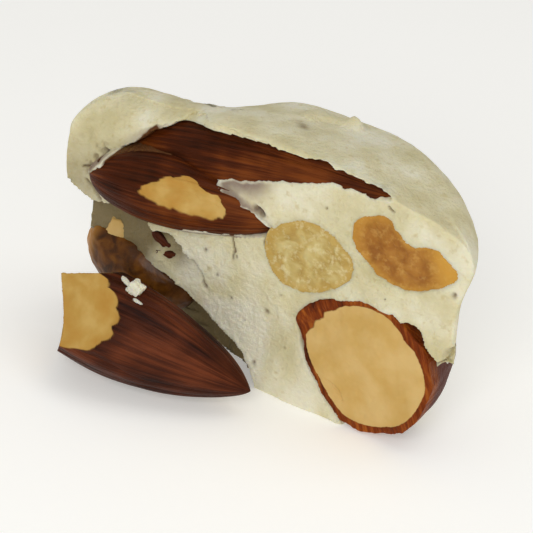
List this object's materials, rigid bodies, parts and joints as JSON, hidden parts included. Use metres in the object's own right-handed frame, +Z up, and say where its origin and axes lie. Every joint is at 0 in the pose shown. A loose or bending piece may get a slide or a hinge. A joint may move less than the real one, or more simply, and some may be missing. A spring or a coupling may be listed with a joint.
{
  "type": "nut nougat",
  "caption": "Cut piece of a round puck of white nougat, with whole, cut and broken nuts at its cut face.",
  "frame": {"origin": "middle of the piece's box, on the flat base it stands on", "axes": "+Z up, -Y out of the cut face, +X to the right along the cut face"},
  "size_m": [0.0386, 0.0241, 0.0241],
  "materials": {
    "nougat_body": "creamy, slightly waxy white nougat, torn and porous at the cut",
    "almond_skin": "dark brown almond skin with lengthwise ridges",
    "almond_kernel": "cut almond kernel, smooth and matt",
    "pale_nut": "blanched nut, cut, grainy",
    "roasted_nut": "roasted nut, golden brown, slightly glossy"
  },
  "bodies": {
    "root": {"nougat": "nougat_body", "almond_top": "almond_skin", "almond_scraped": "almond_skin", "almond_corner": "almond_kernel", "almond_loose": "almond_skin", "nut_pale": "pale_nut", "nut_roasted": "roasted_nut", "nut_side": "roasted_nut", "nut_rear": "roasted_nut", "nut_chip": "pale_nut"}
  },
  "joints": []
}
